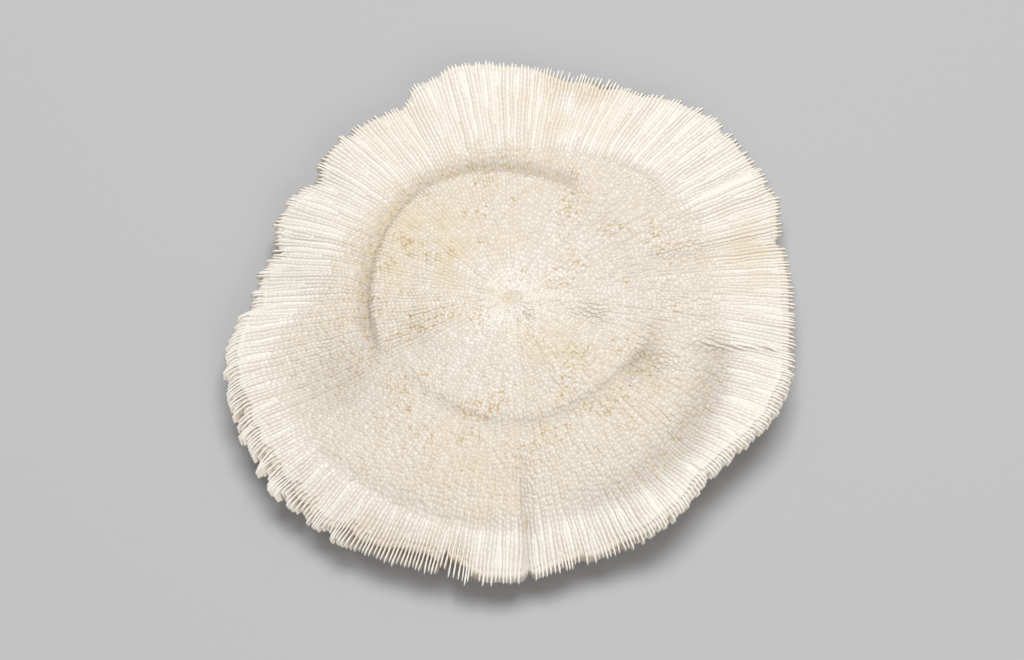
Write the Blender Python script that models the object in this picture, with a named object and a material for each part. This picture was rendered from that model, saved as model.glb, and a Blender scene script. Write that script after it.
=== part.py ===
"""Skeleton of a large mushroom coral: one wavy disc of coral stone, ribbed by its septa.

A mushroom coral is a single polyp. It grows outward from its mouth, and where the
blades that stand round the mouth (the septa) have spread apart, new ones start
between them. This script grows the solid in the same way, ring by ring, and
doubles the number of ribs three times between the mouth and the rim.

Units are metres and +Z is up. The origin is the centre of the flat scar that the
coral rests on, straight below its mouth. Angles are in degrees, anticlockwise
from +X. Run it with: blender --background --python part.py
"""

import math

import bmesh
import bpy

MM = 0.001

# Outline of the rim from above: angle in degrees and radius in millimetres
RIM_OUTLINE = (
    (0, 112.5), (11, 113.5), (20, 116), (26, 121.5), (34, 122), (46, 125), (53, 123.5), (59, 120.5),
    (62, 117.5), (70, 118), (80, 117), (90, 118), (96, 120), (103, 120), (106, 116.5), (111, 115),
    (115, 107.5), (122, 108.5), (131, 108), (138, 105.5), (142, 102), (149, 105), (158, 104),
    (162, 101.5), (167, 102.5), (176, 103.5), (179, 104), (183, 110), (190, 114.5), (199, 117.5),
    (210, 118.5), (219, 120.5), (231, 119), (241, 118), (252, 115.5), (262, 116), (270, 115),
    (278, 112.5), (287, 111), (297, 111.5), (305, 110), (314, 106.5), (323, 107.5), (335, 112.5),
    (344, 113.5), (353, 112.5),
)

# Bites out of the rim: angle in degrees, depth in millimetres, half width in degrees
RIM_NOTCHES = (
    (16.5, 3.5, 1.6), (29.0, 3.5, 1.5), (44.0, 4.5, 1.5), (77.0, 2.5, 0.8), (129.0, 3.5, 1.3),
    (143.0, 3.0, 1.8), (164.5, 6.5, 2.0), (222.5, 3.0, 1.0), (227.0, 3.5, 1.0), (256.5, 6.0, 1.2),
    (273.5, 4.5, 1.2), (284.0, 4.0, 1.0),
)

# Heights above the surface that the coral rests on
CENTRE_HEIGHT = 27.0 * MM
RIM_HEIGHT = 14.0 * MM
DOME_POWER = 2.4
RIM_THICKNESS = 4.2 * MM

# Growth rings, each a round groove, in millimetres and degrees: half width on the inner and on the outer
# side, then its course as angle, radius and depth. Angles run on past 360 where a groove crosses the +X axis.
GROWTH_GROOVES = (
    (4, 6, ((348, 52, 0), (370, 49, 1.0), (395, 50, 1.2), (420, 54, 1.0), (436, 57, 0))),
    (2.0, 4.2, ((60, 59, 0), (68, 60, 2.6), (85, 61, 3.4), (105, 64, 3.2), (125, 65, 2.6), (150, 61, 2.9),
                (170, 58, 3.3), (192, 57, 3.0), (208, 57, 0))),
    (2.2, 5, ((205, 52, 0), (225, 52, 1.0), (240, 52, 1.6), (270, 54, 1.4), (300, 52, 1.7), (325, 53, 2.0),
              (338, 57, 2.4), (351, 57, 1.0), (362, 55, 0))),
    (1.2, 3.5, ((38, 83, 0), (46, 81.5, 1.8), (60, 78, 1.9), (70, 75, 1.0), (95, 72, 0.5), (110, 72, 0))),
    (4, 3, ((206, 96, 0), (220, 96, 0.8), (245, 95, 1.1), (269, 95, 1.0), (280, 94, 0))),
    (9, 7, ((272, 92, 0), (290, 90, 1.8), (320, 88, 2.8), (340, 85, 2.4), (352, 84, 0))),
    (2.5, 3.5, ((88, 19, 0), (100, 19, 0.8), (130, 16, 0.6), (150, 15, 0.8), (190, 14, 1.0), (206, 15, 0))),
    (2.5, 3.5, ((268, 12, 0), (290, 10, 0.9), (305, 9, 0.9), (322, 9, 0))),
    (3, 4, ((140, 40, 0), (170, 41, 0.6), (200, 40, 0.9), (225, 38, 0))),
)

# Hollows and swellings: centre x and y, radius and height in millimetres
MOUNDS = (
    (54, -30, 7, -3.6),
    (31, -8, 5, -2.8),
    (-67, -34, 20, -4.0),
    (-38, -20, 13, -1.8),
    (4, -6, 4.5, -1.2),
    (-74, 16, 14, 1.6),
    (19, -27, 12, 1.2),
    (-28, -72, 15, 1.3),
    (-66, 42, 20, 1.2),
)

# Lengths of the rim that turn up as a lip: middle angle, half angle in degrees, and rise in millimetres
RIM_LIPS = (
    (320, 34, 5.0),
    (197, 26, 2.2),
    (110, 40, 1.4),
)

# Radial folds of the upper right side: middle angle, half angle, angle from fold to fold, and height
FOLD_SECTOR = (32, 34)
FOLD_PITCH_DEG = 14.5
FOLD_HEIGHT = 0.5 * MM

# Radial creases, where two growing edges met: angle at the inner end and at the rim in degrees, then in
# millimetres the inner radius, the half width towards smaller and towards larger angles, and the depth
CREASES = (
    (344.5, 351.0, 66, 4.5, 1.4, 1.1),
    (272.0, 273.0, 62, 1.2, 4.0, 1.6),
    (19.0, 18.0, 52, 3.0, 3.0, 1.2),
    (35.0, 35.0, 88, 2.5, 2.5, 1.0),
)

# The mouth, a shallow pit at the centre
MOUTH_RADIUS = 6.0 * MM
MOUTH_DEPTH = 1.0 * MM

# Ribs: the septa on top, which end as teeth past the wall, and the lower costae underneath
RIB_RISE = 0.7 * MM
RIB_TOOTH = 3.2 * MM
COSTA_RISE = 0.35 * MM

# The scar is flat, and the underside climbs from its edge to the rim
SCAR_RADIUS = 33.0 * MM
UNDERSIDE_POWER = 1.25

# Rings from the centre out: share of the rim's radius, and columns of faces round the ring.
# Every second column is a rib. All counts are multiples of four, because the circle that a sheet starts
# from has its first point on the +Y axis and the columns are counted from +X.
TOP_RINGS = (
    (0.045, 32), (0.085, 32), (0.13, 64), (0.18, 64), (0.24, 128), (0.30, 128), (0.36, 128), (0.42, 256),
    (0.46, 256), (0.50, 256), (0.54, 256), (0.58, 256), (0.62, 256), (0.68, 256), (0.74, 256), (0.81, 256),
    (0.88, 256), (0.95, 256), (1.00, 256),
)
UNDER_RINGS = ((0.288, 64), (0.42, 128), (0.60, 128), (0.78, 256), (1.00, 256))

CORAL_WHITE = (0.87, 0.80, 0.69, 1.0)
CORAL_ROUGHNESS = 0.75

MEAN_RADIUS = sum(radius for _, radius in RIM_OUTLINE) / len(RIM_OUTLINE) * MM


def clear_scene():
    for obj in list(bpy.data.objects):
        bpy.data.objects.remove(obj)


def smooth_step(value, low, high):
    share = min(max((value - low) / (high - low), 0.0), 1.0)
    return share * share * (3 - 2 * share)


def bell(distance):
    return math.exp(-distance * distance)


def degrees_apart(a, b):
    return abs((a - b + 180) % 360 - 180)


def outline_radius(degrees):
    """The radius of the rim's outline, on a smooth curve through its points."""
    degrees %= 360
    count = len(RIM_OUTLINE)
    i = max(k for k in range(count) if RIM_OUTLINE[k][0] <= degrees)
    around = []
    for k in (i - 1, i, i + 1, i + 2):
        angle, radius = RIM_OUTLINE[k % count]
        around.append((angle + 360 * (k // count), radius))
    (a0, r0), (a1, r1), (a2, r2), (a3, r3) = around
    width = a2 - a1
    slope1 = (r2 - r0) / (a2 - a0) * width
    slope2 = (r3 - r1) / (a3 - a1) * width
    t = (degrees - a1) / width
    curve = (2 * t**3 - 3 * t**2 + 1) * r1 + (t**3 - 2 * t**2 + t) * slope1
    curve += (3 * t**2 - 2 * t**3) * r2 + (t**3 - t**2) * slope2
    return curve * MM


def notch_depth(degrees):
    bites = [
        depth * max(0.0, 1 - degrees_apart(degrees, angle) / half_width)
        for angle, depth, half_width in RIM_NOTCHES
    ]
    return sum(bites) * MM


def radius_at(degrees, share):
    """The radius at a share of the way out: round near the mouth, and like the rim near the rim."""
    like_rim = smooth_step(share, 0.25, 1.0)
    radius = share * (MEAN_RADIUS * (1 - like_rim) + outline_radius(degrees) * like_rim)
    return radius - notch_depth(degrees) * smooth_step(share, 0.8, 1.0)


def groove_depth(degrees, radius):
    """Depth of the growth grooves at a point."""
    depth = 0.0
    for inner, outer, course in GROWTH_GROOVES:
        start = course[0][0]
        along = start + (degrees - start) % 360
        for (a0, r0, d0), (a1, r1, d1) in zip(course, course[1:]):
            if a0 <= along < a1:
                t = (along - a0) / (a1 - a0)
                away = radius / MM - (r0 + t * (r1 - r0))
                half_width = inner if away < 0 else outer
                depth += (d0 + t * (d1 - d0)) * bell(away / half_width)
    return depth * MM


def crease_depth(degrees, radius):
    """Depth of the radial creases at a point."""
    depth = 0.0
    for inner, outer, start, before, after, deepest in CREASES:
        way = min(max((radius - start * MM) / (MEAN_RADIUS - start * MM), 0.0), 1.0)
        turned = (degrees - inner - way * (outer - inner) + 180) % 360 - 180
        half_width = before if turned < 0 else after
        there = smooth_step(radius, start * MM, (start + 12) * MM)
        depth += deepest * there * bell(radius / MM * math.radians(turned) / half_width)
    return depth * MM


def mound_height(x, y):
    """Height of the swellings and hollows at a point."""
    height = 0.0
    for cx, cy, radius, rise in MOUNDS:
        height += rise * bell(math.hypot(x / MM - cx, y / MM - cy) / radius)
    return height * MM


def rim_rise(degrees, share):
    """Height of the lips and of the folds, which grow towards the rim."""
    height = 0.0
    for middle, reach, rise in RIM_LIPS:
        there = 1 - smooth_step(degrees_apart(degrees, middle), 0.5 * reach, reach)
        height += rise * MM * there * smooth_step(share, 0.78, 0.97)
    middle, reach = FOLD_SECTOR
    there = 1 - smooth_step(degrees_apart(degrees, middle), 0.6 * reach, reach)
    wave = math.cos(math.tau * (degrees - middle) / FOLD_PITCH_DEG)
    return height + FOLD_HEIGHT * there * wave * smooth_step(share, 0.45, 0.9)


def top_height(x, y, degrees, share):
    """Height of the top, halfway up its ribs."""
    radius = math.hypot(x, y)
    dome = RIM_HEIGHT + (CENTRE_HEIGHT - RIM_HEIGHT) * (1 - share**DOME_POWER)
    mouth = MOUTH_DEPTH * bell(radius / MOUTH_RADIUS)
    sunk = mouth + groove_depth(degrees, radius) + crease_depth(degrees, radius)
    return dome - sunk + mound_height(x, y) + rim_rise(degrees, share)


def top_point(degrees, share, on_rib):
    radius = radius_at(degrees, share)
    if not on_rib:
        radius -= RIB_TOOTH * smooth_step(share, 0.93, 1.0)
    x, y = radius * math.cos(math.radians(degrees)), radius * math.sin(math.radians(degrees))
    rib = (RIB_RISE if on_rib else -RIB_RISE) * smooth_step(share, 0.02, 0.2)
    return x, y, top_height(x, y, degrees, share) + rib


def under_point(degrees, share, on_rib):
    """A point of the underside: flat at the scar, then climbing to the rim with low ribs."""
    radius = radius_at(degrees, share)
    if not on_rib:
        radius -= RIB_TOOTH * smooth_step(share, 0.93, 1.0)
    x, y = radius * math.cos(math.radians(degrees)), radius * math.sin(math.radians(degrees))
    scar_share = UNDER_RINGS[0][0]
    if share <= scar_share:
        turn = math.radians(degrees)
        return SCAR_RADIUS * math.cos(turn), SCAR_RADIUS * math.sin(turn), 0.0
    climb = ((share - scar_share) / (1 - scar_share)) ** UNDERSIDE_POWER
    rim_underside = top_height(x, y, degrees, 1.0) - RIM_THICKNESS
    rib = (-COSTA_RISE if on_rib else COSTA_RISE) * climb
    return x, y, rim_underside * climb + rib


def grown_sheet(rings, point):
    """Grows a round sheet from its centre: each ring is extruded from the last and put in its place."""
    sheet = bmesh.new()
    share, columns = rings[0]
    bmesh.ops.create_circle(sheet, cap_ends=True, cap_tris=True, segments=columns, radius=share)
    place_ring(sheet, share, columns, point)
    for share, next_columns in rings[1:]:
        edge = [e for e in sheet.edges if e.is_boundary]
        if next_columns > columns:
            bmesh.ops.subdivide_edges(sheet, edges=edge, cuts=1)
            edge = [e for e in sheet.edges if e.is_boundary]
            columns = next_columns
        bmesh.ops.extrude_edge_only(sheet, edges=edge)
        place_ring(sheet, share, columns, point)
    return sheet


def place_ring(sheet, share, columns, point):
    """Moves the sheet's outermost ring of vertices to where the form has them."""
    ring = {v for e in sheet.edges if e.is_boundary for v in e.verts}
    for vert in ring:
        column = round(math.atan2(vert.co.y, vert.co.x) * columns / math.tau) % columns
        vert.co = point(360 * column / columns, share, column % 2 == 0)


def centre_vertex(sheet):
    return min(sheet.verts, key=lambda v: math.hypot(v.co.x, v.co.y))


def coral_mesh():
    """The top and the underside, grown apart and joined at the rim."""
    top = grown_sheet(TOP_RINGS, top_point)
    centre_vertex(top).co = (0, 0, top_height(0, 0, 0, 0))
    under = grown_sheet(UNDER_RINGS, under_point)
    centre_vertex(under).co = (0, 0, 0)
    mesh = bpy.data.meshes.new("coral")
    under.to_mesh(mesh)
    under.free()
    top.from_mesh(mesh)
    bmesh.ops.bridge_loops(top, edges=[e for e in top.edges if e.is_boundary])
    bmesh.ops.triangulate(top, faces=top.faces[:])
    bmesh.ops.recalc_face_normals(top, faces=top.faces[:])
    top.to_mesh(mesh)
    top.free()
    return mesh


def coral_material():
    material = bpy.data.materials.new("coral_white")
    material.use_nodes = True
    shader = material.node_tree.nodes["Principled BSDF"]
    shader.inputs["Base Color"].default_value = CORAL_WHITE
    shader.inputs["Roughness"].default_value = CORAL_ROUGHNESS
    shader.inputs["Metallic"].default_value = 0.0
    return material


def build():
    clear_scene()
    coral = bpy.data.objects.new("coral_skeleton", coral_mesh())
    coral.data.materials.append(coral_material())
    bpy.context.scene.collection.objects.link(coral)


build()
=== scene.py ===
# %% [markdown]
# # The skeleton of a mushroom coral
# A mushroom coral is one large polyp. What is left of it is a wavy disc of white stone. Hundreds of
# thin blades, the septa, run out from its mouth to its rim. Each blade has a row of small rounded
# teeth, and past the wall that carries the blades they end as a comb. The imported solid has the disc,
# its grooves and 128 broad ribs. Here nearly 500 septa, about as many as the coral has, grow in its
# place, because they are what one sees of it.

# %% Loading the solid
import math

import bmesh
import bpy
import numpy as np
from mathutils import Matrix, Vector


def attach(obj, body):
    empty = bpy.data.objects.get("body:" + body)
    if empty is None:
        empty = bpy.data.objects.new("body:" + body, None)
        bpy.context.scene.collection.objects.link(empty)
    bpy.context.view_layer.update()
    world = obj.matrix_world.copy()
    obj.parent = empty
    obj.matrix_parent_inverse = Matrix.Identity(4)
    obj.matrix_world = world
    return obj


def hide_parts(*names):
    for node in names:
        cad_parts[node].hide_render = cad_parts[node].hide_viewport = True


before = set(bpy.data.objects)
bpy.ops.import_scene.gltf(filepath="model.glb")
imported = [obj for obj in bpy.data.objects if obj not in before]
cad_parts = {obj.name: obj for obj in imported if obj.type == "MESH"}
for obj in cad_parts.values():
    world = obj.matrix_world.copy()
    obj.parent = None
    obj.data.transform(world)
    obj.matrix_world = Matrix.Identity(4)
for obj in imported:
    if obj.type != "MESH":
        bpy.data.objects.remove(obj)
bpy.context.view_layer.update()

# %% [markdown]
# ## Small helpers
# Lengths are written in millimetres, as one would measure the coral, and become metres when a mesh is
# made. Most values change gently over the disc, so they are made with the same three curves: a step
# with soft ends, a bell, and a soft random hilliness. All of them take whole arrays, because the septa
# have some thirteen thousand teeth.

# %% Soft steps, bells and hills
MM = 0.001


def soft_step(value, low, high):
    share = np.clip((np.asarray(value, float) - low) / (high - low), 0, 1)
    return share * share * (3 - 2 * share)


def bell(distance):
    return np.exp(-np.square(distance))


def degrees_apart(a, b):
    return np.abs(np.mod(a - b + 180, 360) - 180)


def sector(degrees, middle, reach):
    """1 in the middle of a sector of the disc, and 0 from its half angle outwards."""
    return 1 - soft_step(degrees_apart(degrees, middle), 0.5 * reach, reach)


def hills(x, y, cell, seed):
    """Random hills from -1 to 1, about a cell wide, that are the same in every run."""
    heights = np.random.default_rng(seed).uniform(-1, 1, (128, 128))
    u, v = np.asarray(x) / cell + 64, np.asarray(y) / cell + 64
    i, j = np.floor(u).astype(int), np.floor(v).astype(int)
    across, along = soft_step(u - i, 0, 1), soft_step(v - j, 0, 1)
    near = heights[i % 128, j % 128] * (1 - across) + heights[(i + 1) % 128, j % 128] * across
    far = heights[i % 128, (j + 1) % 128] * (1 - across) + heights[(i + 1) % 128, (j + 1) % 128] * across
    return near * (1 - along) + far * along


print("a hill and its neighbour:", hills(np.array([0.0, 1.0]), np.array([0.0, 0.0]), 1.0, 1).round(2))

# %% [markdown]
# ## The outline of the rim
# The rim is not a circle. Its radius is given at many angles, the same ones as in the solid, with a
# smooth curve between them. Bites are kept apart from it: they shorten the septa there, and leave the
# surface alone.

# %% Outline and bites
RIM_OUTLINE = (
    (0, 112.5), (11, 113.5), (20, 116), (26, 121.5), (34, 122), (46, 125), (53, 123.5), (59, 120.5),
    (62, 117.5), (70, 118), (80, 117), (90, 118), (96, 120), (103, 120), (106, 116.5), (111, 115),
    (115, 107.5), (122, 108.5), (131, 108), (138, 105.5), (142, 102), (149, 105), (158, 104),
    (162, 101.5), (167, 102.5), (176, 103.5), (179, 104), (183, 110), (190, 114.5), (199, 117.5),
    (210, 118.5), (219, 120.5), (231, 119), (241, 118), (252, 115.5), (262, 116), (270, 115),
    (278, 112.5), (287, 111), (297, 111.5), (305, 110), (314, 106.5), (323, 107.5), (335, 112.5),
    (344, 113.5), (353, 112.5),
)
# Angle in degrees, depth in millimetres, half width in degrees
RIM_BITES = (
    (16.5, 3.5, 1.6), (29.0, 3.5, 1.5), (44.0, 4.5, 1.5), (77.0, 2.5, 0.8), (129.0, 3.5, 1.3),
    (143.0, 3.0, 1.8), (164.5, 6.5, 2.0), (222.5, 3.0, 1.0), (227.0, 3.5, 1.0), (256.5, 6.0, 0.8),
    (273.5, 4.5, 0.5), (284.0, 4.0, 1.0),
)
MEAN_RADIUS = sum(radius for _, radius in RIM_OUTLINE) / len(RIM_OUTLINE)
# From this share of the way out, circles begin to take the shape of the rim
LIKE_RIM_FROM = 0.25
SHARE_ROUNDS = 8


def outline_radius(degrees):
    degrees = np.mod(degrees, 360)
    angle, radius = np.array(RIM_OUTLINE, float).T
    angle = np.concatenate([angle[-1:] - 360, angle, angle[:2] + 360])
    radius = np.concatenate([radius[-1:], radius, radius[:2]])
    slope = (radius[2:] - radius[:-2]) / (angle[2:] - angle[:-2])
    i = np.searchsorted(angle, degrees, side="right") - 1
    width = angle[i + 1] - angle[i]
    t = (degrees - angle[i]) / width
    curve = (2 * t**3 - 3 * t**2 + 1) * radius[i] + (t**3 - 2 * t**2 + t) * width * slope[i - 1]
    return curve + (3 * t**2 - 2 * t**3) * radius[i + 1] + (t**3 - t**2) * width * slope[i]


def bitten(degrees):
    """How much shorter the septa are at this angle, in millimetres."""
    bites = [
        depth * np.clip(1 - degrees_apart(degrees, angle) / half, 0, 1)
        for angle, depth, half in RIM_BITES
    ]
    return np.sum(bites, axis=0)


def share_of_way(degrees, radius):
    """How far out a point lies, from 0 at the mouth to 1 at the rim."""
    rim = outline_radius(degrees)
    share = radius / MEAN_RADIUS
    for _ in range(SHARE_ROUNDS):
        like_rim = soft_step(share, LIKE_RIM_FROM, 1)
        share = radius / (MEAN_RADIUS * (1 - like_rim) + rim * like_rim)
    return share


right_top_left_bottom = np.array([0, 90, 180, 270])
print("rim radius right, top, left and bottom:", outline_radius(right_top_left_bottom).round(1))

# %% [markdown]
# ## The relief of the disc
# The coral grew in spurts, and each spurt left a round groove. There are also hollows, folds that run
# with the septa, creases where two growing edges met, and lengths of rim that turn up. These are the
# solid's own values.

# %% Height of the top
CENTRE_HEIGHT = 27.0
RIM_HEIGHT = 14.0
DOME_POWER = 2.4
RIM_THICKNESS = 4.2
# Growth grooves: half width on the inner and on the outer side, and the course as angle, radius and depth
GROWTH_GROOVES = (
    (4, 6, ((348, 52, 0), (370, 49, 1.0), (395, 50, 1.2), (420, 54, 1.0), (436, 57, 0))),
    (2.0, 4.2, ((60, 59, 0), (68, 60, 2.6), (85, 61, 3.4), (105, 64, 3.2), (125, 65, 2.6), (150, 61, 2.9),
                (170, 58, 3.3), (192, 57, 3.0), (208, 57, 0))),
    (2.2, 5, ((205, 52, 0), (225, 52, 1.0), (240, 52, 1.6), (270, 54, 1.4), (300, 52, 1.7), (325, 53, 2.0),
              (338, 57, 2.4), (351, 57, 1.0), (362, 55, 0))),
    (1.2, 3.5, ((38, 83, 0), (46, 81.5, 1.8), (60, 78, 1.9), (70, 75, 1.0), (95, 72, 0.5), (110, 72, 0))),
    (4, 3, ((206, 96, 0), (220, 96, 0.8), (245, 95, 1.1), (269, 95, 1.0), (280, 94, 0))),
    (9, 7, ((272, 92, 0), (290, 90, 1.8), (320, 88, 2.8), (340, 85, 2.4), (352, 84, 0))),
    (2.5, 3.5, ((88, 19, 0), (100, 19, 0.8), (130, 16, 0.6), (150, 15, 0.8), (190, 14, 1.0), (206, 15, 0))),
    (2.5, 3.5, ((268, 12, 0), (290, 10, 0.9), (305, 9, 0.9), (322, 9, 0))),
    (3, 4, ((140, 40, 0), (170, 41, 0.6), (200, 40, 0.9), (225, 38, 0))),
)
# Swellings and hollows: centre x and y, radius and height
MOUNDS = (
    (54, -30, 7, -3.6),
    (31, -8, 5, -2.8),
    (-67, -34, 20, -4.0),
    (-38, -20, 13, -1.8),
    (4, -6, 4.5, -1.2),
    (-74, 16, 14, 1.6),
    (19, -27, 12, 1.2),
    (-28, -72, 15, 1.3),
    (-66, 42, 20, 1.2),
)
# Middle angle, half angle and rise
RIM_LIPS = (
    (320, 34, 5.0),
    (197, 26, 2.2),
    (110, 40, 1.4),
)
FOLD_SECTOR = (32, 34)
FOLD_PITCH_DEG = 14.5
FOLD_HEIGHT = 0.5
# Shares of the way out between which lips and folds rise
LIP_RISES = (0.78, 0.97)
FOLD_RISES = (0.45, 0.9)
# Angle at its inner end and at the rim, inner radius, half width on the side of the smaller angle and of
# the larger angle, and depth
CREASES = (
    (344.5, 351.0, 66, 4.5, 1.4, 1.1),
    (272.0, 273.0, 62, 1.2, 4.0, 1.6),
    (19.0, 18.0, 52, 3.0, 3.0, 1.2),
    (35.0, 35.0, 88, 2.5, 2.5, 1.0),
)
CREASE_SINKS_OVER = 12
MOUTH_RADIUS = 6.0
MOUTH_DEPTH = 1.0
# How much a hollow counts against a groove of the same depth
HOLLOW_COUNTS = 0.45


def groove_depth(degrees, radius):
    depth = np.zeros(np.broadcast(degrees, radius).shape)
    for inner, outer, course in GROWTH_GROOVES:
        angle, middle, deepest = np.array(course, float).T
        along = angle[0] + np.mod(degrees - angle[0], 360)
        away = radius - np.interp(along, angle, middle)
        depth = depth + np.interp(along, angle, deepest) * bell(away / np.where(away < 0, inner, outer))
    return depth


def crease_depth(degrees, radius):
    depth = 0.0
    for inner, outer, start, before, after, deepest in CREASES:
        angle = np.interp(radius, (start, MEAN_RADIUS), (inner, outer))
        across = radius * np.radians(np.mod(degrees - angle + 180, 360) - 180)
        there = soft_step(radius, start, start + CREASE_SINKS_OVER)
        depth = depth + deepest * there * bell(across / np.where(across < 0, before, after))
    return depth


def from_spots(degrees, radius, spots):
    """The sum of soft round spots, each given as centre x and y, radius and amount."""
    x, y = radius * np.cos(np.radians(degrees)), radius * np.sin(np.radians(degrees))
    return sum(amount * bell(np.hypot(x - cx, y - cy) / reach) for cx, cy, reach, amount in spots)


# The sunken mark sets where the grooves, creases and hollows get painted shade, and where ochre specks
# gather
def sunken(degrees, radius):
    """How deep a spot lies in a groove, in a crease or, which counts for less, in a hollow."""
    hollow = np.maximum(-from_spots(degrees, radius, MOUNDS), 0)
    return groove_depth(degrees, radius) + crease_depth(degrees, radius) + HOLLOW_COUNTS * hollow


def top_height(degrees, radius, share):
    """Height of the solid's top. The crests of the septa stand a little above it."""
    height = RIM_HEIGHT + (CENTRE_HEIGHT - RIM_HEIGHT) * (1 - share**DOME_POWER)
    height = height - MOUTH_DEPTH * bell(radius / MOUTH_RADIUS) + from_spots(degrees, radius, MOUNDS)
    height = height - groove_depth(degrees, radius) - crease_depth(degrees, radius)
    for middle, reach, rise in RIM_LIPS:
        height += rise * sector(degrees, middle, reach) * soft_step(share, *LIP_RISES)
    middle, reach = FOLD_SECTOR
    there = 1 - soft_step(degrees_apart(degrees, middle), 0.6 * reach, reach)
    folds = np.cos(math.tau * (degrees - middle) / FOLD_PITCH_DEG)
    height += FOLD_HEIGHT * there * folds * soft_step(share, *FOLD_RISES)
    return height


SCAR_RADIUS = 33.0
SCAR_SHARE = SCAR_RADIUS / MEAN_RADIUS
UNDERSIDE_POWER = 1.25


def underside_height(degrees, radius, share):
    """Height of the wall's underside: flat at the scar, then climbing to the rim."""
    climb = np.clip((share - SCAR_SHARE) / (1 - SCAR_SHARE), 0, 1) ** UNDERSIDE_POWER
    return (top_height(degrees, radius, 1.0) - RIM_THICKNESS) * climb


way_out = np.array([0.0, 20.0, 57.0, 90.0, 112.0])
print("height of the top, going right:", top_height(0.0, way_out, share_of_way(0.0, way_out)).round(1))

# %% [markdown]
# ## Where each septum stands
# The first septa start at the mouth. As they spread apart, a new one starts in each gap, later a new
# one in each of the new gaps, and so on, six times in all, so that the spacing stays about the same
# from the mouth to the rim. The new ones don't all start on one circle. Each has its own starting
# radius, and its neighbours make room for it over a few millimetres. A septum's angle at any radius
# comes from the room that those before it take. Only the quick changes from septum to septum are kept,
# because the slow ones would bend whole bundles of them.

# %% Cycles of septa
SEPTUM_SPACING = 1.45
SPACING_AT_MOUTH = 1.10
FIRST_SEPTA = 12
LATER_CYCLES = 6
MAKES_ROOM_OVER = 6.0
FIRST_START = 3.8
FIRST_START_SPREAD = 1.5
SHORTEST_SEPTUM = 5
# Waves of displacement over the first number of septa are left out, and those under the second are kept
SLOW_WAVE = 14
QUICK_WAVE = 5
RADIUS_STEP = 0.5
RIM_ROW = int(116 / RADIUS_STEP)
GOLDEN_SHARE = 0.618034

places = FIRST_SEPTA * 2**LATER_CYCLES
place = np.arange(places)
first_full_radius = FIRST_SEPTA * SEPTUM_SPACING / math.tau


def cycle_of(k):
    """0 where the first septa stand, and one more for each halving of the gaps."""
    step, halvings = places // FIRST_SEPTA, 0
    while k % step:
        step, halvings = step // 2, halvings + 1
    return halvings


cycle = np.array([cycle_of(k) for k in place])
place_in_cycle = place // (places // FIRST_SEPTA // 2**cycle) // 2
spread = np.mod(place_in_cycle * GOLDEN_SHARE, 1)
later_start = first_full_radius * 2.0 ** (cycle - 1) * (1 + spread)
start_radius = np.where(cycle == 0, FIRST_START + FIRST_START_SPREAD * spread, later_start)
start_radius *= np.interp(start_radius, (5, 30), (SPACING_AT_MOUTH / SEPTUM_SPACING, 1))
nominal_angle = place * 360 / places

radii = np.arange(0, 128, RADIUS_STEP)
makes_room_over = np.minimum(MAKES_ROOM_OVER, 1 + 0.5 * start_radius)
room = soft_step(radii[:, None] - start_radius, 0, makes_room_over) + 1e-6
septa_there = room.sum(axis=1, keepdims=True)
pushed_aside = 360 * (np.cumsum(room, axis=1) - room / 2) / septa_there - nominal_angle
waves = np.fft.rfft(pushed_aside, axis=1)
waves *= soft_step(np.arange(waves.shape[1]), septa_there / SLOW_WAVE, septa_there / QUICK_WAVE)
angle_table = nominal_angle + np.fft.irfft(waves, places, axis=1)
septa = place[start_radius < outline_radius(nominal_angle) - SHORTEST_SEPTUM]
print(len(septa), "septa in", LATER_CYCLES + 1, "cycles")

# %% [markdown]
# ## What the septa are like over the disc
# The teeth are small near the mouth and tall halfway out. The slots between the septa are deeper than
# the dips between the teeth, so the rows of teeth read as radial streaks, except at the left, where
# both are as deep. Towards the rim the teeth fade, and the blades end as thin combs that stand out past
# the wall: far at the lower left and at the top, less elsewhere, and nowhere evenly. Each rule is a
# short function of the angle, the radius and the share of the way out.

# %% Rules for teeth and blades
CREST_RISE = 0.6
# Where the teeth end and the blades turn smooth: angle and share of the way out
TEETH_END = (
    (0, 0.72), (30, 0.70), (60, 0.64), (90, 0.62), (150, 0.64), (175, 0.70), (195, 0.84), (215, 0.82),
    (270, 0.80), (330, 0.79), (345, 0.76),
)
# The tables of sectors give a middle angle, a half angle and an amount
# Millimetres that the septa stand out further past the wall
COMB_SECTORS = ((248, 18, 4.2), (76, 10, 3.2), (212, 24, 2.6), (290, 16, 0.8))
COMB_LENGTH = 2.4
# The wall's edge is uneven. The random hills repeat after 128 cells, so they close round the rim
RAGGED_CELLS = 128
RAGGED = 0.5
RAGGED_IN_COMB = 0.35
RAGGED_SEED = 13
SHARE_OF_BITE_IN_WALL = 0.8
# Heights and depths in millimetres: at the mouth, and what is added or lost on the way out
TOOTH_AT_MOUTH = 0.20
TOOTH_GAIN = 0.27
TALLER_SECTORS = ((195, 75, 0.16),)
TOOTH_FADES = 0.80
SLOT_AT_MOUTH = 0.26
SLOT_GAIN = 0.26
SLOT_GAIN_HALFWAY = 0.14
SHALLOW_PAST_TEETH = 0.20
SHALLOWER_SECTORS = ((100, 80, 0.07),)
SLOT_GAIN_AT_RIM = 0.10
SLOT_GAIN_PER_COMB = 0.18
# Radii between which the teeth gain height and the slots gain depth
HALFWAY_OUT = (38, 58)
BLADE_AT_MOUTH = 0.28
BLADE_GAIN = 0.04
BLADE_GAIN_PAST_TEETH = 0.02
# Millimetres that half a blade is thinner past the wall
SLENDER_SECTORS = ((246, 22, 0.05), (79, 10, 0.06), (292, 16, 0.04))
# Millimetres that a foot stands further round than its crown
LEANING_SECTORS = ((200, 30, 2.4), (228, 14, 1.4), (322, 34, -1.6), (150, 30, 0.8))
# Millimetres that the whole end of a blade is bent round
CURLED_SECTORS = ((199, 24, 3.0), (150, 30, 1.0))
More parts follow.
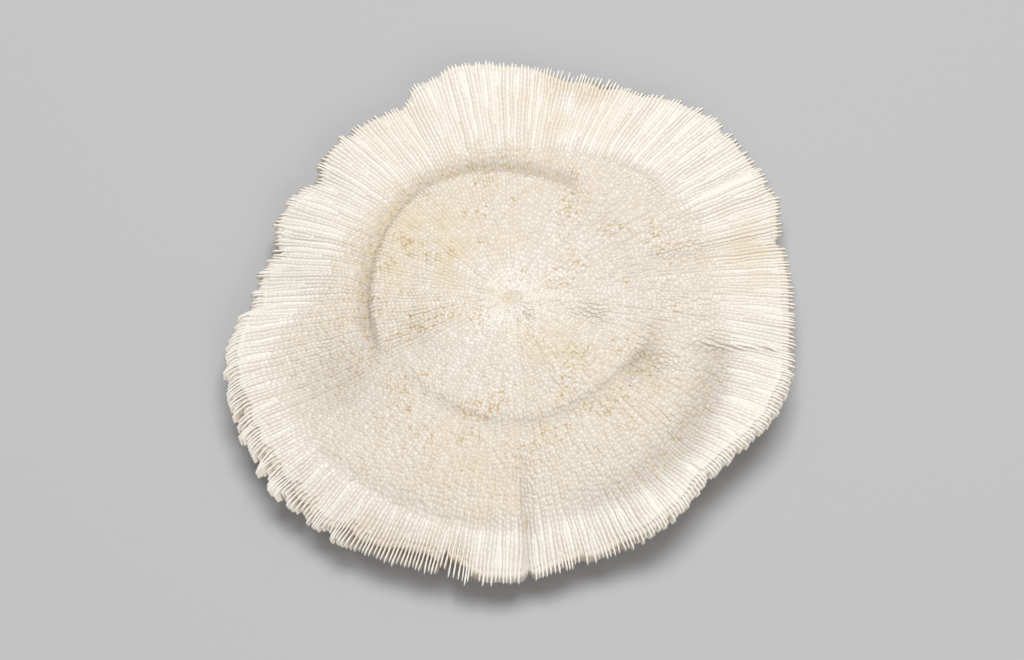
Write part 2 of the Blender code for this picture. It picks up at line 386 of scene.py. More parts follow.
# Millimetres that the ends are drawn together in bunches
BUNCHED_SECTORS = ((225, 16, 1.1), (266, 12, 0.7), (150, 44, 0.9), (196, 24, 0.9), (40, 30, 0.5))
BUNCHING = 0.35
# Where the stone is stained: centre x and y, radius, and how much
STAINS = (
    (-34, 27, 27, 0.8),
    (18, -27, 17, 0.6),
    (-14, -74, 20, 0.5),
    (96, 24, 18, 0.8),
    (3, -7, 7, 0.6),
    (52, -36, 18, 0.4),
    # This spot darkens the middle: partly its real tan, partly painted shade
    (0, 4, 22, 0.4),
    (20, 92, 30, 0.6),
    (-45, 84, 22, 0.4),
)


def by_sector(degrees, sectors):
    return sum(amount * sector(degrees, middle, reach) for middle, reach, amount in sectors)


def smoothness(degrees, share):
    angle, end = np.array(TEETH_END).T
    end = np.interp(degrees, angle, end, period=360)
    return soft_step(share - end, -0.05, 0.06)


def tooth_height(degrees, radius, share):
    taller = TOOTH_GAIN * soft_step(radius, 5, 32)
    taller += by_sector(degrees, TALLER_SECTORS) * soft_step(radius, *HALFWAY_OUT)
    return (TOOTH_AT_MOUTH + taller) * (1 - TOOTH_FADES * smoothness(degrees, share))


def slot_depth(degrees, radius, share):
    deeper = SLOT_GAIN * soft_step(radius, 3, 32) + SLOT_GAIN_HALFWAY * soft_step(radius, *HALFWAY_OUT)
    shallower = SHALLOW_PAST_TEETH + by_sector(degrees, SHALLOWER_SECTORS)
    deeper -= shallower * smoothness(degrees, share)
    deeper += SLOT_GAIN_AT_RIM * soft_step(share, 0.88, 0.95)
    deeper += SLOT_GAIN_PER_COMB * by_sector(degrees, COMB_SECTORS) * soft_step(share, 0.82, 0.96)
    return SLOT_AT_MOUTH + deeper


def blade_half_width(degrees, radius, share):
    wider = BLADE_GAIN * soft_step(radius, 8, 20)
    wider += BLADE_GAIN_PAST_TEETH * smoothness(degrees, share)
    slimmer = by_sector(degrees, SLENDER_SECTORS) * soft_step(share, 0.88, 0.96)
    return BLADE_AT_MOUTH + wider - slimmer


def wall_edge_share(degrees):
    comb = by_sector(degrees, COMB_SECTORS)
    uneven = hills(RAGGED_CELLS * np.mod(degrees, 360) / 360, 0, 1.0, RAGGED_SEED)
    shorter = COMB_LENGTH + comb + (RAGGED + RAGGED_IN_COMB * comb) * uneven
    return 1 - (shorter + SHARE_OF_BITE_IN_WALL * bitten(degrees)) / outline_radius(degrees)


print("halfway out the teeth are", tooth_height(0.0, 60.0, 0.5).round(2), "mm tall")
print("and the slots are", slot_depth(0.0, 60.0, 0.5).round(2), "mm deep")

# %% [markdown]
# ## The wall
# Below the septa lies one closed plate: its top is the floor of the slots, and its underside rests on
# the scar. It starts as a small circle. The circle's edge is extruded ring by ring, and each new ring
# is moved to where the form has it, so the plate grows outwards as the coral did. The top and the
# underside are grown apart and bridged.

# %% Growing the wall
WALL_COLUMNS = 320
WALL_RINGS = 80
UNDER_RINGS = 20
# The first rings, as shares of the way out
FIRST_RING = 0.03
FIRST_UNDER_RING = 0.04


def grow_sheet(shares, height):
    """A round sheet that is grown from its centre outwards."""
    sheet = bmesh.new()
    bmesh.ops.create_circle(sheet, cap_ends=True, cap_tris=True, segments=WALL_COLUMNS, radius=1)
    for k, share in enumerate(shares):
        if k:
            bmesh.ops.extrude_edge_only(sheet, edges=[e for e in sheet.edges if e.is_boundary])
        ring = list({v for e in sheet.edges if e.is_boundary for v in e.verts})
        degrees = np.degrees([math.atan2(v.co.y, v.co.x) for v in ring])
        reach = share * wall_edge_share(degrees)
        like_rim = soft_step(reach, LIKE_RIM_FROM, 1)
        radius = reach * (MEAN_RADIUS * (1 - like_rim) + outline_radius(degrees) * like_rim)
        for vert, a, r, z in zip(ring, np.radians(degrees), radius, height(degrees, radius, reach)):
            vert.co = Vector((r * math.cos(a), r * math.sin(a), z)) * MM
    middle = min(sheet.verts, key=lambda v: v.co.xy.length)
    middle.co = Vector((0, 0, float(height(0.0, np.array([0.0]), np.array([0.0]))[0]))) * MM
    return sheet


def floor_height(degrees, radius, share):
    return top_height(degrees, radius, share) + CREST_RISE - slot_depth(degrees, radius, share)


def grow_wall():
    mesh = bpy.data.meshes.new("coral_wall")
    under = grow_sheet(np.linspace(FIRST_UNDER_RING, 1, UNDER_RINGS), underside_height)
    under.to_mesh(mesh)
    under.free()
    wall = grow_sheet(np.linspace(FIRST_RING, 1, WALL_RINGS), floor_height)
    wall.from_mesh(mesh)
    bmesh.ops.bridge_loops(wall, edges=[e for e in wall.edges if e.is_boundary])
    bmesh.ops.recalc_face_normals(wall, faces=wall.faces)
    wall.to_mesh(mesh)
    wall.free()
    mesh.shade_smooth()
    return mesh


wall = bpy.data.objects.new("coral_wall", grow_wall())
bpy.context.scene.collection.objects.link(wall)
print("wall", len(wall.data.polygons), "faces")

# %% [markdown]
# ## One septum
# A septum is a thin blade with a toothed edge. It could be cut out of a plate, but some thirteen
# thousand teeth have to stay light. So it is a strip that is rolled up. Its rows of points run along
# the left foot, the left shoulder, the crest, the right shoulder and the right foot, and a sixth row
# lies on the first. Each tooth has four stations along the strip: the dip, the rise, the peak and the
# fall. Four more stations round off the tip.

# %% Stations along a septum
STATION_IN_TOOTH = np.array([0.0, 0.22, 0.50, 0.78])
DIP_AT_STATION = np.array([1.0, 0.48, 0.0, 0.48])
WIDTH_AT_STATION = np.array([0.45, 0.82, 1.0, 0.82])
TOOTH_PITCH = np.interp(radii, (0, 10, 25, 85, 105), (1.3, 1.5, 1.7, 1.8, 2.2))
teeth_passed = np.concatenate([[0], np.cumsum(RADIUS_STEP / TOOTH_PITCH)[:-1]])
TOOTH_PLACE_JITTER = 0.3
STATION_FROM_TIP = np.array([2.4, 1.2, 0.4, 0.0])
WIDTH_NEAR_TIP = np.array([1.0, 0.92, 0.62, 0.0])


def stations_along(start, end, longer, random):
    """Radius of each station, how deep in a dip it lies, its width, and a value for its tooth."""
    first, last = np.interp([start, end - STATION_FROM_TIP[0]], radii, teeth_passed)
    count = max(2, int((last - first) / longer))
    tooth = first + (last - first) * np.arange(count + 1) / count
    tooth[1:-1] += random.uniform(-TOOTH_PLACE_JITTER, TOOTH_PLACE_JITTER, count - 1)
    edges = np.interp(tooth, teeth_passed, radii)
    radius = (edges[:-1, None] + np.diff(edges)[:, None] * STATION_IN_TOOTH).ravel()
    of_tooth = np.repeat(random.uniform(-1, 1, count), 4)
    return (
        np.concatenate([radius, end - STATION_FROM_TIP]),
        np.concatenate([np.tile(DIP_AT_STATION, count), np.zeros(4)]),
        np.concatenate([np.tile(WIDTH_AT_STATION, count), WIDTH_NEAR_TIP]),
        np.concatenate([of_tooth, np.zeros(4)]),
    )


example = stations_along(20.0, 110.0, 1.0, np.random.default_rng(1))
print("a septum from 20 to 110 mm has", len(example[0]) // 4, "teeth")

# %% [markdown]
# ## Placing the rows of a septum
# The crest follows the relief of the disc and dips between the teeth. Neighbouring septa lean and
# wander together, as they did when the living polyp pulled on them, and at the rim they bunch and leave
# gaps. The feet are spread over the floor of the slots until they meet, so that they cover the coarser
# wall. Past the wall a blade reaches down to the underside, and gets lower and thinner towards its
# rounded tip.

# %% Rows of a septum
WANDER = 0.25
WANDER_CELL = 9.0
WANDER_SEED = 5
TOOTH_JITTER = 0.42
LEAN = 0.30
LEAN_CELL = 6.0
LEAN_SEED = 7
LEAN_AT_CROWN = 0.4
LEAN_AT_FOOT = 0.6
LENGTH_JITTER = 0.5
THINS_OVER = 7.0
BROKEN_SHARE = 0.04
BROKEN_OFF = (1.5, 4)
PAST_OUTLINE = 1.0
SHOULDER_DROP = 0.15
FOOT_HALF_WIDTH = 0.66
WIDTH_OF_CYCLE = np.array([1.05, 1.05, 1.05, 1.05, 1.05, 0.95, 0.80])
SHORTER_IN_CYCLE = np.array([0, 0, 0, 0, 0, 0.5, 1.1])
LOWER_IN_CYCLE = np.array([0, 0, 0, 0, 0, 0.15, 0.35])
LONGER_TEETH = ((90, 80, 0.35),)
RIM_MM_PER_DEGREE = 2
# A hill of bunching is this many millimetres of rim wide, and is told from the others by its seed
BUNCH_CELL = 4.0
BUNCH_SEED = 11
BUNCHED_AT_FOOT = 0.6
LONGER_IN_BUNCH = 1.2
CREST_JITTER = 0.12
TOOTH_UNEVENNESS = 0.5
FOOT_ABOVE_FLOOR = 0.03
TIP_DROPS = 0.7
TIP_DROPS_OVER = 1.5
BELOW_UNDERSIDE = 0.3
TIP_HEIGHT = 0.8


def septum_rows(k, random):
    """The six rows of points of septum k, and the marks of its points for the finish."""
    end_angle = angle_table[RIM_ROW, k]
    arc = end_angle * RIM_MM_PER_DEGREE
    bunching = BUNCHING + by_sector(end_angle, BUNCHED_SECTORS)
    gathered = hills(arc - 1, 0, BUNCH_CELL, BUNCH_SEED) - hills(arc + 1, 0, BUNCH_CELL, BUNCH_SEED)
    length = random.uniform(-1, 1) * LENGTH_JITTER + LONGER_IN_BUNCH * bunching * gathered
    length -= SHORTER_IN_CYCLE[cycle[k]]
    length -= random.uniform(*BROKEN_OFF) * (random.uniform() < BROKEN_SHARE)
    end = float(outline_radius(end_angle) - bitten(end_angle) + min(length, PAST_OUTLINE))
    longer = 1 + by_sector(end_angle, LONGER_TEETH)
    radius, dip, width, tooth_value = stations_along(start_radius[k], end, longer, random)
    degrees = np.interp(radius, radii, angle_table[:, k])
    share = share_of_way(degrees, radius)
    turn = np.radians(degrees)
    x, y = radius * np.cos(turn), radius * np.sin(turn)
    to_tip = end - radius

    started = soft_step(radius - start_radius[k], 0, 1.2)
    floor = floor_height(degrees, radius, share)
    crest = top_height(degrees, radius, share) + CREST_RISE
    crest -= LOWER_IN_CYCLE[cycle[k]] * soft_step(share, 0.2, 0.5)
    teeth = tooth_height(degrees, radius, share)
    crest += TOOTH_UNEVENNESS * teeth * tooth_value - teeth * dip
    crest += random.uniform(-CREST_JITTER, CREST_JITTER)
    crest = floor - 0.2 + (crest - floor + 0.2) * started
    crest -= TIP_DROPS * np.clip(1 - to_tip / TIP_DROPS_OVER, 0, 1) ** 2

    edge = wall_edge_share(degrees)
    outside = soft_step(share, edge - 0.025, edge - 0.005)
    under = underside_height(degrees, radius, share) - BELOW_UNDERSIDE
    base = (floor + FOOT_ABOVE_FLOOR) * (1 - outside) + under * outside
    crest = np.maximum(crest, base + 0.04)
    base += (crest - base - TIP_HEIGHT) * np.clip(1 - to_tip / THINS_OVER, 0, 1) ** 1.5 * outside

    at_rim = soft_step(share, 0.86, 1.0)
    jitter = TOOTH_JITTER * (1 - 0.7 * smoothness(degrees, share)) * (1 - at_rim)
    sway = WANDER * hills(x, y, WANDER_CELL, WANDER_SEED) * soft_step(radius, 5, 20) + jitter * tooth_value
    sway += by_sector(end_angle, CURLED_SECTORS) * soft_step(share, 0.88, 1.02) ** 2
    lean = by_sector(end_angle, LEANING_SECTORS) * at_rim
    bunched = bunching * at_rim * hills(arc, 0, BUNCH_CELL, BUNCH_SEED)
    crown = sway + LEAN * hills(x, y, LEAN_CELL, LEAN_SEED) * (1 - at_rim) + bunched - LEAN_AT_CROWN * lean
    foot = sway + BUNCHED_AT_FOOT * bunched + LEAN_AT_FOOT * lean
    half = blade_half_width(degrees, radius, share)
    half *= 0.5 + 0.5 * soft_step(radius - start_radius[k], 0, 5)
    half *= 1 + (WIDTH_OF_CYCLE[cycle[k]] - 1) * at_rim
    half *= width + (1 - width) * at_rim * (to_tip > STATION_FROM_TIP[0])
    half[0] = 0.0
    shoulder = np.minimum(SHOULDER_DROP * (1 - 0.75 * at_rim), (crest - base) * 0.4)
    base[0] = crest[0]

    spread_foot = 0.8 * half * outside + (0.35 * half + FOOT_HALF_WIDTH) * (1 - outside) * (half > 0)
    left, right = foot - spread_foot, foot + spread_foot
    offset = np.stack([left, crown - half, crown, crown + half, right, left])
    height = np.stack([base, crest - shoulder, crest, crest - shoulder, base, base])
    rows = np.stack([x - offset * np.sin(turn), y + offset * np.cos(turn), height], axis=-1)
    flank = crest - base
    # How far each row lies below the crest, which sets the painted shade of flanks, dips and slots
    below = np.stack([flank, shoulder, 0 * crest, shoulder, flank, flank]) + teeth * dip
    marks = share, sunken(degrees, radius), from_spots(degrees, radius, STAINS)
    return rows, below, *(np.broadcast_to(mark, below.shape) for mark in marks)


rows = septum_rows(septa[10], np.random.default_rng(2))[0]
print("rows, stations and coordinates of one septum:", rows.shape)

# %% [markdown]
# ## Rolling up strips
# A flat grid is made for each strip, its points are moved to their rows, and the last row is welded to
# the first, which closes the strip. The grids bring their own UV map. Each strip gets its own band of
# it, so that the finish can be baked without two strips sharing a place. The edges along the feet are
# sharp, and near the rim those along the shoulders too, because shading that runs smoothly across them
# leaves dark dashes.

# %% Joined strips
# below_crest and sunken set where shade is painted into the colour, stained sets real stains
MARKS = ("below_crest", "share", "sunken", "stained")
WELD_DISTANCE = 0.004 * MM
SHARP_FROM_SHARE = 0.84
# The part of its band of the UV map that a strip fills
BAND_FROM = 0.06
BAND_FILLED = 0.88


def rolled_strips(name, strips):
    """One mesh with all the strips. A strip is its rows of points, followed by the marks of each point."""
    shape = bmesh.new()
    shape.loops.layers.uv.new("OFBake")
    sizes = [rows.shape[:2] for rows, *_ in strips]
    for across, along in sizes:
        bmesh.ops.create_grid(shape, x_segments=along - 1, y_segments=across - 1, size=1, calc_uvs=True)
    mesh = bpy.data.meshes.new(name)
    shape.to_mesh(mesh)
    points = np.concatenate([rows.reshape(-1, 3) for rows, *_ in strips]) * MM
    mesh.vertices.foreach_set("co", points.ravel())
    for at, mark in enumerate(MARKS, start=1):
        values = np.concatenate([strip[at].ravel() for strip in strips]).astype(np.float32)
        mesh.attributes.new(mark, "FLOAT", "POINT").data.foreach_set("value", values)
    ends = np.empty(len(mesh.edges) * 2, np.int32)
    mesh.edges.foreach_get("vertices", ends)
    row = np.concatenate([np.repeat(np.arange(across), along) for across, along in sizes])
    last_row = np.concatenate([np.full(across * along, across - 1) for across, along in sizes])
    share = np.concatenate([strip[1 + MARKS.index("share")].ravel() for strip in strips])
    on_foot = (row == 0) | (last_row - row < 2)
    on_shoulder = (row % 2 == 1) & (row < 4) & (share > SHARP_FROM_SHARE)
    line = np.where(on_foot | on_shoulder, row, -1)[ends.reshape(-1, 2)]
    sharp = (line[:, 0] == line[:, 1]) & (line[:, 0] >= 0)
    mesh.attributes.new("sharp_edge", "BOOLEAN", "EDGE").data.foreach_set("value", sharp)
    corners = [4 * (across - 1) * (along - 1) for across, along in sizes]
    band = np.repeat(np.arange(len(strips)), corners)
    uv = np.empty(len(mesh.loops) * 2, np.float32)
    mesh.uv_layers["OFBake"].uv.foreach_get("vector", uv)
    uv = uv.reshape(-1, 2)
    uv[:, 1] = (band + BAND_FROM + BAND_FILLED * uv[:, 1]) / len(strips)
    mesh.uv_layers["OFBake"].uv.foreach_set("vector", uv.ravel())
    shape.clear()
    shape.from_mesh(mesh)
    bmesh.ops.remove_doubles(shape, verts=shape.verts, dist=WELD_DISTANCE)
    bmesh.ops.recalc_face_normals(shape, faces=shape.faces)
    shape.to_mesh(mesh)
    shape.free()
    mesh.shade_smooth()
    return mesh


def triangles_in(mesh):
    mesh.calc_loop_triangles()
    return len(mesh.loop_triangles)


print("each point of a strip is marked with", ", ".join(MARKS))

# %% [markdown]
# ## All the septa
# The septa are grown in eight sectors, because a mesh of all of them would be too large to handle well.

# %% Growing the septa
SECTORS = 8
random = np.random.default_rng(8)
septa_meshes = []
for number in range(SECTORS):
    here = [k for k in septa if int(nominal_angle[k] * SECTORS / 360) == number]
    mesh = rolled_strips(f"septa_{number + 1}", [septum_rows(k, random) for k in here])
    septa_meshes.append(bpy.data.objects.new(mesh.name, mesh))
    bpy.context.scene.collection.objects.link(septa_meshes[-1])
    print(mesh.name, len(here), "septa,", triangles_in(mesh), "triangles")

# %% [markdown]
# ## Grains in the mouth
# The floor of the mouth, inside the first septa, is a knot of small round grains. They are placed as a
# sunflower places its seeds, which fills a circle evenly without rows.

# %% Growing the grains
GRAIN_COUNT = 30
GRAIN_SPACING = 0.78
GRAIN_STATIONS = np.array([-0.80, -0.45, 0.0, 0.45, 0.80])
GOLDEN_ANGLE = 137.508
GRAIN_HALF_WIDTH = 0.40 * np.array([0, 0.85, 1.0, 0.85, 0])
GRAIN_RISE = 0.55 * np.array([0, 0.60, 1.0, 0.60, 0])
GRAIN_SHOULDER = 0.7
GRAIN_FOOT = 1.2
GRAIN_SINKS = 0.1
GRAIN_DEPTH = 0.7
GRAIN_STAIN = 0.6
GRAIN_SIZES = (0.8, 1.1)


def grain_rows(n, random):
    """The six rows of one grain: a short septum that is a single tooth."""
    middle, degrees = GRAIN_SPACING * math.sqrt(n + 0.4), n * GOLDEN_ANGLE
    turn = math.radians(degrees)
    x, y = middle * math.cos(turn), middle * math.sin(turn)
    toward = random.uniform(0, math.tau)
    half, foot = GRAIN_SHOULDER * GRAIN_HALF_WIDTH, GRAIN_FOOT * GRAIN_HALF_WIDTH
    rise = GRAIN_RISE * random.uniform(*GRAIN_SIZES)
    floor = float(floor_height(degrees, middle, middle / MEAN_RADIUS)) - GRAIN_SINKS + 0 * half
    shoulder = floor + GRAIN_SHOULDER * rise
    height = np.stack([floor, shoulder, floor + rise, shoulder, floor, floor])
    offset = np.stack([-foot, -half, 0 * half, half, foot, -foot])
    rows = np.stack(
        [
            x + GRAIN_STATIONS * math.cos(toward) - offset * math.sin(toward),
            y + GRAIN_STATIONS * math.sin(toward) + offset * math.cos(toward),
            height,
        ],
        axis=-1,
    )
    # The lower a point of a grain lies, the more painted shade it gets
    below = GRAIN_DEPTH - (height - floor)
    return rows, below, 0 * below, 0 * below, GRAIN_STAIN + 0 * below


grains_mesh = rolled_strips("mouth_grains", [grain_rows(n, random) for n in range(GRAIN_COUNT)])
grains = bpy.data.objects.new("mouth_grains", grains_mesh)
bpy.context.scene.collection.objects.link(grains)
print("grains", triangles_in(grains_mesh), "triangles")

# %% [markdown]
# ## Marks on the wall
# The wall's finish reads the same four marks as the septa do. Its top counts as far below the crests as
# the slots are deep, and its underside as one deep slot without stains, so both get the painted shade of
# the slots.

# %% Marking the wall
count = len(wall.data.vertices)
spots = np.empty(count * 3, np.float32)
wall.data.vertices.foreach_get("co", spots)
x, y, z = spots.reshape(-1, 3).T / MM
degrees, radius = np.degrees(np.arctan2(y, x)), np.hypot(x, y)
share = share_of_way(degrees, radius)
is_floor = z > (floor_height(degrees, radius, share) + underside_height(degrees, radius, share)) / 2
wall_marks = {
    # Painted shade: the underside counts as deep as a slot, so it is painted darker
    "below_crest": np.where(is_floor, slot_depth(degrees, radius, share), 1.0),
    "share": share,
    "sunken": sunken(degrees, radius),
    "stained": from_spots(degrees, radius, STAINS) * is_floor,
}
for mark, values in wall_marks.items():
    wall.data.attributes.new(mark, "FLOAT", "POINT").data.foreach_set("value", values.astype(np.float32))
print("marked", count, "points of the wall")

# %% [markdown]
# ## The costae
# Underneath, all but the shortest septa go on as costae: low ridges with small spines. They are strips
# too, of four rows. Each runs from the scar, or from where its septum starts, nearly to the rim.

# %% Growing the costae
COSTA_RISE = 0.45
COSTA_HALF_WIDTH = 0.34
COSTA_STATION = 1.8
COSTA_FROM_SCAR = 1.5
COSTA_START_JITTER = 2
SPINE_SIZES = (0.35, 1.0)
COSTA_SINKS = 0.25
LOWEST_COSTA = 0.15
COSTA_FROM_RIM = 2.5
LAST_COSTA_START = 100
# How far each of the four rows counts below the crest: the feet get the painted shade of a deep slot, the
# spine less
COSTA_MARKS = (0.9, 0.3, 0.9, 0.9)


def costa_rows(k, random):
    end_angle = angle_table[RIM_ROW, k]
    end = float(outline_radius(end_angle) - bitten(end_angle)) - COSTA_FROM_RIM
    start = max(start_radius[k], SCAR_RADIUS + COSTA_FROM_SCAR) + random.uniform(0, COSTA_START_JITTER)
    radius = np.linspace(start, end, max(4, int((end - start) / COSTA_STATION)))
    degrees = np.interp(radius, radii, angle_table[:, k])
    share = share_of_way(degrees, radius)
    turn = np.radians(degrees)
    x, y = radius * np.cos(turn), radius * np.sin(turn)
    ends = np.minimum(np.arange(len(radius)), np.arange(len(radius))[::-1]).clip(0, 2) / 2
    ground = underside_height(degrees, radius, share) + COSTA_SINKS
    spine = random.uniform(*SPINE_SIZES, len(radius)) * COSTA_RISE
    spine *= 0.4 + 0.6 * soft_step(share, 0.3, 0.6)
    crest = np.maximum(ground - COSTA_SINKS - spine * ends, LOWEST_COSTA)
    half = COSTA_HALF_WIDTH * (0.25 + 0.75 * ends)
    offset = np.stack([-half, 0 * half, half, -half])
    height = np.stack([ground, crest, ground, ground])
    rows = np.stack([x - offset * np.sin(turn), y + offset * np.cos(turn), height], axis=-1)
    below = np.stack([0 * half + mark for mark in COSTA_MARKS])
    return rows, below, np.broadcast_to(share, below.shape), 0 * below, 0 * below


with_costa = [k for k in septa if start_radius[k] < LAST_COSTA_START]
costae_mesh = rolled_strips("costae", [costa_rows(k, random) for k in with_costa])
costae = bpy.data.objects.new("costae", costae_mesh)
bpy.context.scene.collection.objects.link(costae)
print(len(with_costa), "costae,", triangles_in(costae_mesh), "triangles")

# %% [markdown]
# ## A node group for painted shade and stains
# Bleached coral is nearly white. Shade is painted into its colour here: it turns cream down the flanks,
# tan in the slots and grey in the growth grooves, creases and hollows, the more the deeper a point lies.
# Ochre specks sit in the grooves and round the middle, real stains tan some patches, and towards the rim
# the colour turns whiter. The group takes four marks: how far a point lies below the crest, its share of
# the way out, how sunken the disc is there, and how stained it is. It puts out the colour. It is a
# group, because the wall, the septa and the costae all wear it, each with its own values.

# %% Tint group
CREST_WHITE = (0.945, 0.900, 0.825, 1)
# The flank, slot and sunken colours below are painted shade, darker the deeper a point lies. The slot tan
# also colours the real stains.
FLANK_PAINTED_SHADE = (0.745, 0.680, 0.590, 1)
SLOT_SHADE_AND_STAIN_TAN = (0.770, 0.650, 0.460, 1)
SUNKEN_PAINTED_SHADE = (0.560, 0.515, 0.450, 1)
OCHRE = (0.600, 0.435, 0.230, 1)
# How much of its tint the mix takes at most
PAINTED_SHADE_IN_SLOTS = 0.45
PAINTED_SHADE_WHERE_SUNKEN = 0.95
OCHRE_IN_SPECKS = 0.90
WHITE_AT_RIM = 0.30
# Widths of the lumps in millimetres
STAIN_LUMPS = 12.0
SPECKS = 1.7
SPECK_CROWDS = 14.0


def add(tree, kind, **values):
    node = tree.nodes.new(kind)
    for name, value in values.items():
        setattr(node, name, value)
    return node


def ramp(tree, fac, low, high):
    """0 below low and 1 above high, with soft ends."""
    node = add(tree, "ShaderNodeMapRange", interpolation_type="SMOOTHSTEP")
    node.inputs["From Min"].default_value = low
    node.inputs["From Max"].default_value = high
    tree.links.new(fac, node.inputs["Value"])
    return node.outputs["Result"]


def mix(tree, fac, a, b):
    node = add(tree, "ShaderNodeMix", data_type="RGBA")
    for socket, value in zip((node.inputs["Factor"], node.inputs["A"], node.inputs["B"]), (fac, a, b)):
        if isinstance(value, (tuple, float)):
            socket.default_value = value
        else:
            tree.links.new(value, socket)
    return node.outputs["Result"]


def calculate(tree, operation, a, b):
    node = add(tree, "ShaderNodeMath", operation=operation)
    for socket, value in zip(node.inputs, (a, b)):
        if isinstance(value, float):
            socket.default_value = value
        else:
            tree.links.new(value, socket)
    return node.outputs["Value"]


def times(tree, a, b):
    return calculate(tree, "MULTIPLY", a, b)


def larger(tree, a, b):
    return calculate(tree, "MAXIMUM", a, b)


def noise(tree, scale_mm, detail, seed):
    """Noise whose lumps are about this many millimetres wide, in the coral's own coordinates."""
    where = add(tree, "ShaderNodeTexCoord")
    shift = add(tree, "ShaderNodeMapping")
    shift.inputs["Location"].default_value = (seed, seed * 0.7, seed * 0.3)
    cloud = add(tree, "ShaderNodeTexNoise")
    cloud.inputs["Scale"].default_value = 1 / (scale_mm * MM)
    cloud.inputs["Detail"].default_value = detail
    tree.links.new(where.outputs["Object"], shift.inputs["Vector"])
    tree.links.new(shift.outputs["Vector"], cloud.inputs["Vector"])
    return cloud.outputs["Fac"]


def tint_group():
    tree = bpy.data.node_groups.new("shade_and_stain_tint", "ShaderNodeTree")
    for name in MARKS:
        tree.interface.new_socket(name, in_out="INPUT", socket_type="NodeSocketFloat")
    tree.interface.new_socket("Colour", in_out="OUTPUT", socket_type="NodeSocketColor")
    inputs, outputs = add(tree, "NodeGroupInput"), add(tree, "NodeGroupOutput")
    below, share, low, stained = (inputs.outputs[name] for name in MARKS)
    # Painted shade: cream down the flanks, then tan in the slots
    colour = mix(tree, ramp(tree, below, 0.04, 0.34), CREST_WHITE, FLANK_PAINTED_SHADE)
    colour = mix(tree, times(tree, ramp(tree, below, 0.42, 0.72), PAINTED_SHADE_IN_SLOTS), colour, SLOT_SHADE_AND_STAIN_TAN)
    # Painted shade: grey in the sunken grooves, creases and hollows, less on the crests
    shaded = times(tree, ramp(tree, low, 0.2, 3.4), ramp(tree, below, -0.45, 0.40))
    colour = mix(tree, times(tree, shaded, PAINTED_SHADE_WHERE_SUNKEN), colour, SUNKEN_PAINTED_SHADE)
    cloudy = ramp(tree, noise(tree, STAIN_LUMPS, 3.0, 1.0), 0.30, 0.60)
    stain = times(tree, times(tree, stained, cloudy), ramp(tree, below, -0.4, 0.5))
    colour = mix(tree, stain, colour, SLOT_SHADE_AND_STAIN_TAN)
    deep = ramp(tree, below, 0.10, 0.45)
    specks = ramp(tree, noise(tree, SPECKS, 2.0, 5.0), 0.52, 0.62)
    ringed = ramp(tree, low, 1.0, 2.6)
    crowds = ramp(tree, noise(tree, SPECK_CROWDS, 2.0, 9.0), 0.47, 0.58)
    strewn = times(tree, crowds, ramp(tree, share, 0.75, 0.45))
    where = larger(tree, ringed, strewn)
    speckled = times(tree, times(tree, specks, deep), times(tree, where, OCHRE_IN_SPECKS))
    colour = mix(tree, speckled, colour, OCHRE)
    whiter = times(tree, ramp(tree, share, 0.90, 0.99), WHITE_AT_RIM)
    colour = mix(tree, whiter, colour, CREST_WHITE)
    tree.links.new(colour, outputs.inputs["Colour"])
    return tree


shade_and_stain_tint = tint_group()
print(shade_and_stain_tint.name, "has", len(shade_and_stain_tint.nodes), "nodes")

# %% [markdown]
# ## A node group for the grain of the stone
# Dry coral stone is matt and finely granular, like lump sugar. A fine noise gives a height for the Bump
# node, and a coarser one changes the roughness a little.

# %% Grain group
GRAIN_WIDTH = 0.22
ROUGH_PATCHES = 1.6
LEAST_ROUGH = 0.62
MOST_ROUGH = 0.88


def grain_group():
    tree = bpy.data.node_groups.new("stone_grain", "ShaderNodeTree")
    tree.interface.new_socket("Height", in_out="OUTPUT", socket_type="NodeSocketFloat")
    tree.interface.new_socket("Roughness", in_out="OUTPUT", socket_type="NodeSocketFloat")
    outputs = add(tree, "NodeGroupOutput")
    fine = noise(tree, GRAIN_WIDTH, 3.0, 2.0)
    tree.links.new(fine, outputs.inputs["Height"])
    rough = add(tree, "ShaderNodeMapRange")
    rough.inputs["To Min"].default_value = LEAST_ROUGH
    rough.inputs["To Max"].default_value = MOST_ROUGH
    tree.links.new(noise(tree, ROUGH_PATCHES, 2.0, 3.0), rough.inputs["Value"])
    tree.links.new(rough.outputs["Result"], outputs.inputs["Roughness"])
    return tree


stone_grain = grain_group()
print(stone_grain.name, "has", len(stone_grain.nodes), "nodes")

# %% [markdown]
# ## The coral's material
# One material serves every piece. It reads the four marks with Attribute nodes, and joins the two
# groups to a Principled shader.

# %% Coral material
GRAIN_BUMP = 0.25
GRAIN_HEIGHT = 0.1 * MM


def coral_stone(name):
    material = bpy.data.materials.new(name)
    material.use_nodes = True
    tree = material.node_tree
    shader = tree.nodes["Principled BSDF"]
    tint = add(tree, "ShaderNodeGroup", node_tree=shade_and_stain_tint)
    for mark in MARKS:
        reader = add(tree, "ShaderNodeAttribute", attribute_name=mark)
        tree.links.new(reader.outputs["Fac"], tint.inputs[mark])
    tree.links.new(tint.outputs["Colour"], shader.inputs["Base Color"])
    grain = add(tree, "ShaderNodeGroup", node_tree=stone_grain)
    bump = add(tree, "ShaderNodeBump")
    bump.inputs["Strength"].default_value = GRAIN_BUMP
    bump.inputs["Distance"].default_value = GRAIN_HEIGHT
    tree.links.new(grain.outputs["Height"], bump.inputs["Height"])
    tree.links.new(bump.outputs["Normal"], shader.inputs["Normal"])
    tree.links.new(grain.outputs["Roughness"], shader.inputs["Roughness"])
    return material


coral_white = coral_stone("coral_white")
pieces = [wall, costae, grains, *septa_meshes]
for piece in pieces:
    piece.data.materials.append(coral_white)
    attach(piece, "root")
    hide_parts("coral_skeleton")
print(len(pieces), "pieces of", coral_white.name)

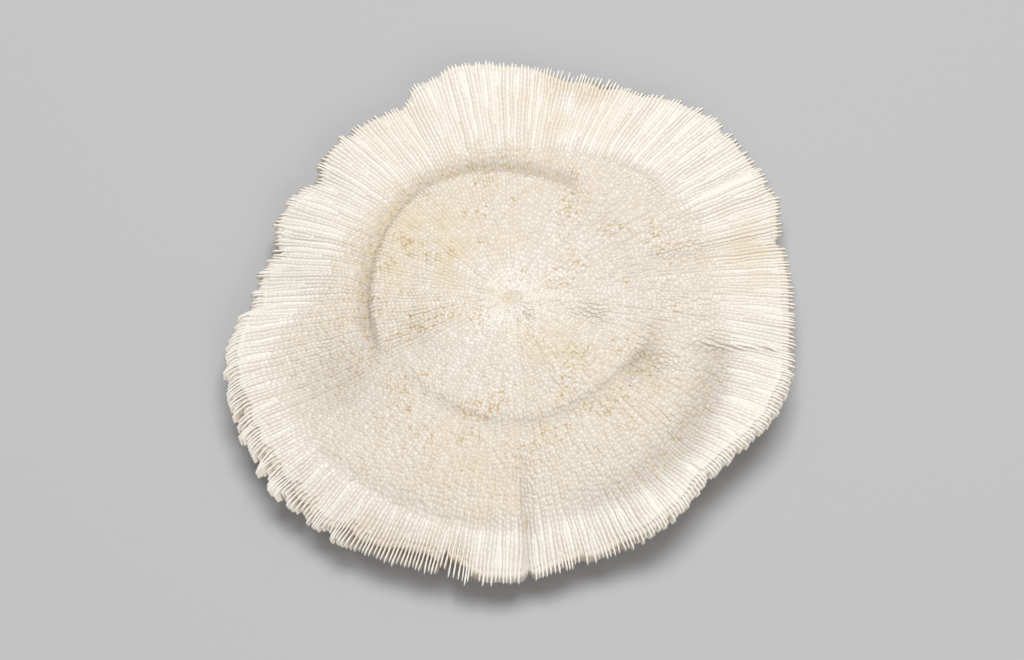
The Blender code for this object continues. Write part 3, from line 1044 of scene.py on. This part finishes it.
# %% [markdown]
# ## Floor and light
# The floor is plain and pale. One large soft lamp hangs above the coral and a little behind it, as the
# shading of its grooves shows, and a weak one fills from the front right.

# %% Stage
FLOOR_GREY = (0.50, 0.50, 0.51, 1)
FLOOR_ROUGHNESS = 0.7
FLOOR_RADIUS = 4
# Name, place in metres, width and height in metres, and power in watts
LAMPS = (
    ("key", (0.05, 0.70, 2.20), 1.6, 1.1, 42.8),
    ("fill", (0.6, -1.8, 1.6), 1.6, 1.2, 13.0),
)
SKY_STRENGTH = 0.26


def make_floor():
    shape = bmesh.new()
    bmesh.ops.create_circle(shape, cap_ends=True, segments=96, radius=FLOOR_RADIUS)
    mesh = bpy.data.meshes.new("floor")
    shape.to_mesh(mesh)
    shape.free()
    material = bpy.data.materials.new("floor")
    material.use_nodes = True
    shader = material.node_tree.nodes["Principled BSDF"]
    shader.inputs["Base Color"].default_value = FLOOR_GREY
    shader.inputs["Roughness"].default_value = FLOOR_ROUGHNESS
    mesh.materials.append(material)
    floor = bpy.data.objects.new("floor", mesh)
    bpy.context.scene.collection.objects.link(floor)


def add_lamp(name, place, width, height, power):
    lamp = bpy.data.lights.new(name, "AREA")
    lamp.shape = "RECTANGLE"
    lamp.size, lamp.size_y = width, height
    lamp.energy = power
    lamp_object = bpy.data.objects.new(name, lamp)
    lamp_object.location = place
    lamp_object.rotation_euler = (-Vector(place)).to_track_quat("-Z", "Y").to_euler()
    bpy.context.scene.collection.objects.link(lamp_object)


make_floor()
for lamp in LAMPS:
    add_lamp(*lamp)
world = bpy.data.worlds.new("studio")
world.use_nodes = True
sky = world.node_tree.nodes["Background"]
sky.inputs["Color"].default_value = (1, 1, 1, 1)
sky.inputs["Strength"].default_value = SKY_STRENGTH
bpy.context.scene.world = world
bpy.context.scene.view_settings.view_transform = "Standard"
print("floor,", len(LAMPS), "lamps and a pale sky")

# %% [markdown]
# ## Camera
# The photograph looks down on the coral at about 62 degrees, from a metre away.

# %% Camera
CAMERA_ELEVATION = 62.0
CAMERA_DISTANCE = 1.0
CAMERA_LENS = 87.7

camera_data = bpy.data.cameras.new("camera")
camera_data.lens = CAMERA_LENS
camera = bpy.data.objects.new("camera", camera_data)
tilt = math.radians(CAMERA_ELEVATION)
camera.location = Vector((0, -math.cos(tilt), math.sin(tilt))) * CAMERA_DISTANCE
camera.rotation_euler = (math.radians(90 - CAMERA_ELEVATION), 0, 0)
bpy.context.scene.collection.objects.link(camera)
bpy.context.scene.camera = camera
print("camera at", [round(c, 3) for c in camera.location])
